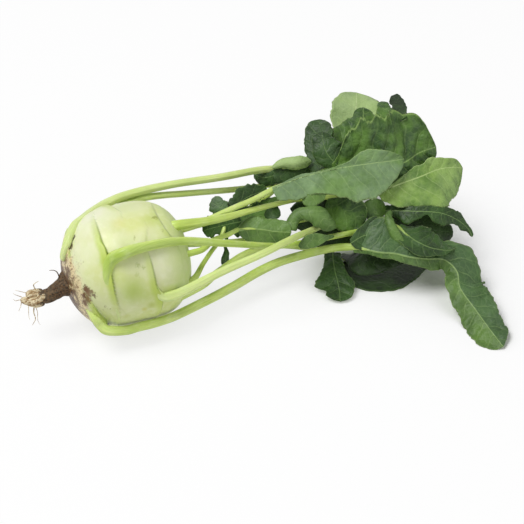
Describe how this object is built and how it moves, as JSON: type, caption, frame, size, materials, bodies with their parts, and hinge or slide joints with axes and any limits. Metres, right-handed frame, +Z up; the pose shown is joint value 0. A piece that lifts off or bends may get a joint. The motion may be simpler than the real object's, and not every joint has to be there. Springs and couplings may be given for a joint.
{
  "type": "kohlrabi",
  "caption": "Pulled kohlrabi lying on its side: round pale green bulb, cut taproot, long leaf stalks and a sheaf of lobed leaves.",
  "frame": {"origin": "middle of the small flat spot on the bulb's underside, on the surface the plant lies on", "axes": "+Z up; +X along the bulb's axis from the root towards the leaves; +Y completes the right-handed set"},
  "size_m": [0.3227, 0.2328, 0.1055],
  "materials": {
    "bulb": "waxy pale green rind, satin",
    "stalk": "smooth yellow-green leaf stalk with a thin waxy bloom",
    "leaf": "matt veined leaf, dark to grey-green",
    "root": "rough woody root with soil on it"
  },
  "bodies": {
    "root": {"bulb": "bulb", "taproot": "root", "root_limb": "root", "root_stub": "root", "rootlet_1": "root", "rootlet_2": "root", "rootlet_3": "root", "stalk_1": "stalk", "stalk_2": "stalk", "stalk_3": "stalk", "stalk_4": "stalk", "stalk_5": "stalk", "stalk_6": "stalk", "stalk_7": "stalk", "stalk_8": "stalk", "stalk_9": "stalk", "stalk_10": "stalk", "stalk_11": "stalk", "stalk_12": "stalk", "blade_1": "leaf", "lobe_1a": "leaf", "lobe_1b": "leaf", "lobe_1c": "leaf", "blade_2": "leaf", "lobe_2d": "leaf", "lobe_2a": "leaf", "lobe_2b": "leaf", "lobe_2c": "leaf", "blade_3": "leaf", "lobe_3a": "leaf", "blade_4": "leaf", "lobe_4a": "leaf", "lobe_4b": "leaf", "lobe_4c": "leaf", "blade_5": "leaf", "lobe_5a": "leaf", "lobe_5b": "leaf", "blade_6": "leaf", "lobe_6a": "leaf", "blade_7": "leaf", "lobe_7a": "leaf", "blade_8": "leaf", "lobe_8c": "leaf", "lobe_8a": "leaf", "lobe_8d": "leaf", "lobe_8b": "leaf", "blade_9": "leaf", "lobe_9a": "leaf", "lobe_9b": "leaf", "blade_10": "leaf", "lobe_10b": "leaf", "lobe_10a": "leaf", "blade_11": "leaf", "lobe_12a": "leaf", "blade_12": "leaf"}
  },
  "joints": []
}
